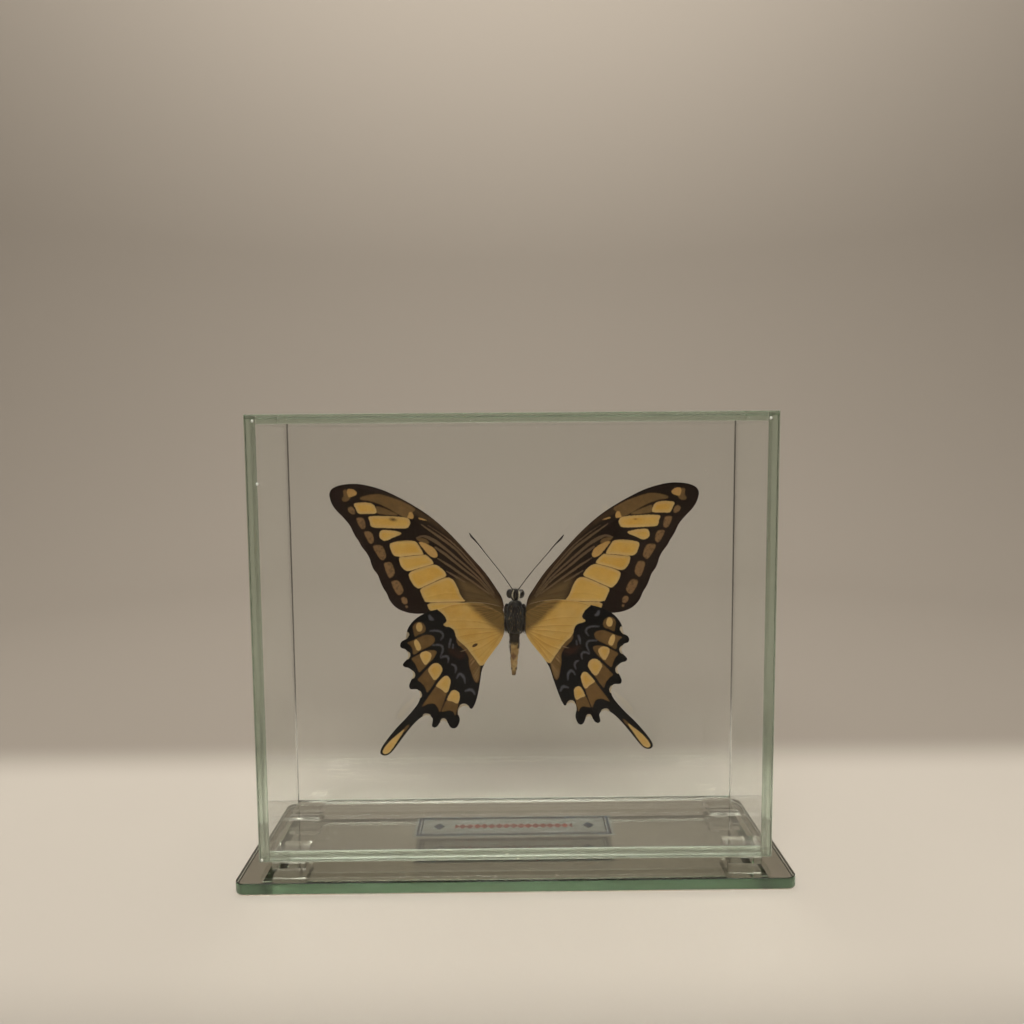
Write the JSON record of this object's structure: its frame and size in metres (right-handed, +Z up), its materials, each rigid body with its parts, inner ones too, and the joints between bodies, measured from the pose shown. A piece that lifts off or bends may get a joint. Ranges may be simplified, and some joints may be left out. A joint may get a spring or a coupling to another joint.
{
  "type": "mounted butterfly in glass box",
  "caption": "Swallowtail butterfly with spread wings, mounted in a clear rectangular glass display box on a mirror-glass base plate.",
  "frame": {"origin": "on the surface the plate stands on, under the middle of the base plate", "axes": "+X to the right along the longest side, +Y away from the face the insect's underside shows through, +Z up"},
  "size_m": [0.182, 0.0586, 0.154],
  "materials": {
    "box_glass": "polished",
    "base_glass": "polished",
    "mirror_backing": "silvered and painted",
    "clear_pads": "clear",
    "label_film": "clear film, printed border",
    "post": "clear",
    "body": "dry and hairy",
    "eyes": "dull gloss",
    "abdomen": "dry scales",
    "antennae": "dry",
    "forewings": "dry scales",
    "hindwings": "dry scales"
  },
  "bodies": {
    "root": {"base_plate": "base_glass", "mirror_backing": "mirror_backing", "pad_front_left": "clear_pads", "pad_front_right": "clear_pads", "pad_rear_left": "clear_pads", "pad_rear_right": "clear_pads", "label": "label_film", "pane_front": "box_glass", "pane_back": "box_glass", "pane_left": "box_glass", "pane_right": "box_glass", "pane_top": "box_glass", "pane_bottom": "box_glass", "mounting_post": "post", "thorax": "body", "head": "body", "eye_left": "eyes", "eye_right": "eyes", "abdomen": "abdomen", "antenna_left": "antennae", "antenna_right": "antennae", "forewing_left": "forewings", "forewing_right": "forewings", "hindwing_left": "hindwings", "hindwing_right": "hindwings"}
  },
  "joints": []
}
